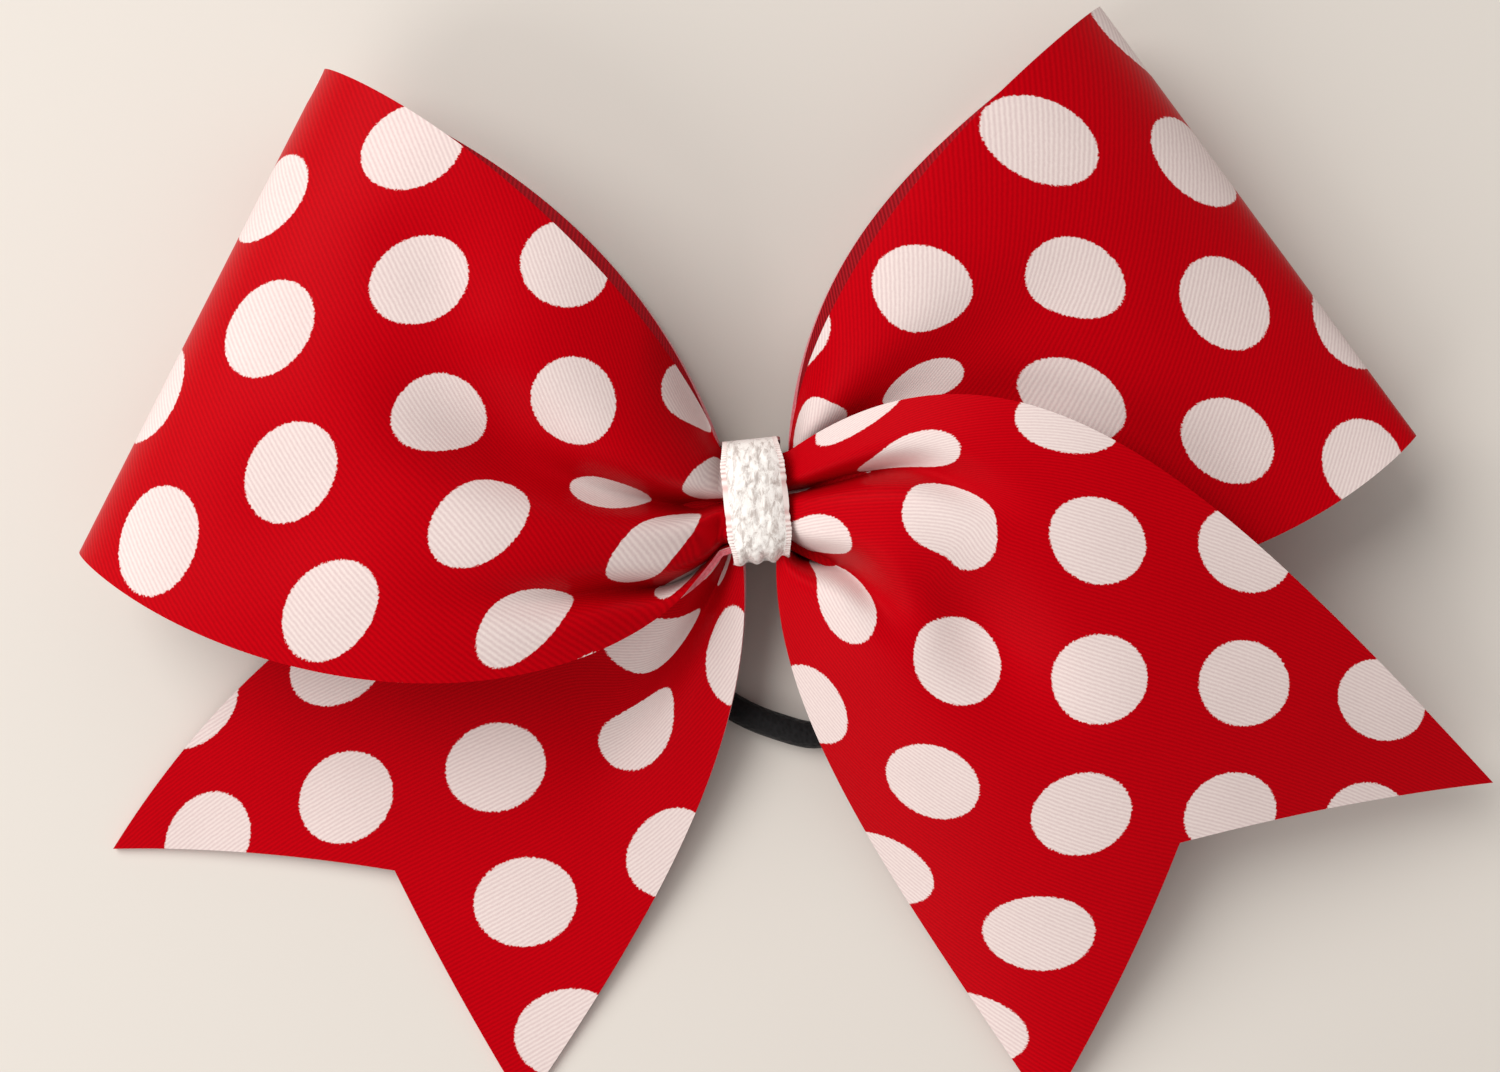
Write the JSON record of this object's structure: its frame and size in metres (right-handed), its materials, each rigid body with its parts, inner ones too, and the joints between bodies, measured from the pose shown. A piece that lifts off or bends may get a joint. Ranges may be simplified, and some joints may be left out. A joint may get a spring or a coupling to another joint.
{
  "type": "cheer hair bow",
  "caption": "Large two-loop hair bow of wide two-ply ribbon with V-cut tails, gathered by a tie under a narrow wrap, with a hair elastic behind.",
  "frame": {"origin": "centre of the knot's flat back, on the plane that the bow lies on", "axes": "+X from the left loop to the right loop, +Y towards the tops of the loops, +Z out of the bow's front"},
  "size_m": [0.2027, 0.1595, 0.0306],
  "materials": {
    "printed_satin": "satin polyester, red with large white dots",
    "grosgrain": "ribbed red grosgrain, matte",
    "velvet": "white crushed velvet with a beaded edge",
    "nylon": "natural nylon, satin",
    "hot_glue": "cloudy hot-melt glue",
    "elastic_knit": "matte black knit",
    "elastic_rubber": "dark rubber"
  },
  "bodies": {
    "knot": {"gather_rear": "printed_satin", "gather_middle": "printed_satin", "gather_front": "printed_satin", "cable_tie": "nylon", "centre_wrap": "velvet", "wrap_glue": "hot_glue"},
    "left_loop": {"left_loop_print": "printed_satin", "left_loop_backing": "grosgrain"},
    "left_tail": {"left_tail_print": "printed_satin", "left_tail_backing": "grosgrain"},
    "right_loop": {"right_loop_print": "printed_satin", "right_loop_backing": "grosgrain"},
    "right_tail": {"right_tail_print": "printed_satin", "right_tail_backing": "grosgrain"},
    "hair_elastic": {"elastic_cover": "elastic_knit", "elastic_core": "elastic_rubber", "elastic_joint": "hot_glue"}
  },
  "joints": [
    {"name": "left_loop_lift", "type": "hinge", "parent": "knot", "child": "left_loop", "pos_m": [-0.0052, 0, 0.0185], "axis": [0, 1, 0], "range_deg": [0, 35], "stiffness_Nm_per_rad": 0.08},
    {"name": "right_loop_lift", "type": "hinge", "parent": "knot", "child": "right_loop", "pos_m": [0.0052, 0, 0.0185], "axis": [0, -1, 0], "range_deg": [0, 35], "stiffness_Nm_per_rad": 0.08},
    {"name": "left_tail_lift", "type": "hinge", "parent": "left_loop", "child": "left_tail", "pos_m": [-0.0052, 0, 0.0185], "axis": [0, 1, 0], "range_deg": [0, 10], "stiffness_Nm_per_rad": 0.08},
    {"name": "right_tail_lift", "type": "hinge", "parent": "right_loop", "child": "right_tail", "pos_m": [0.0052, 0, 0.0185], "axis": [0, -1, 0], "range_deg": [0, 40], "stiffness_Nm_per_rad": 0.08},
    {"name": "elastic_swing", "type": "hinge", "parent": "knot", "child": "hair_elastic", "pos_m": [0, 0, 0.0062], "axis": [1, 0, 0], "range_deg": [0, 120]}
  ]
}
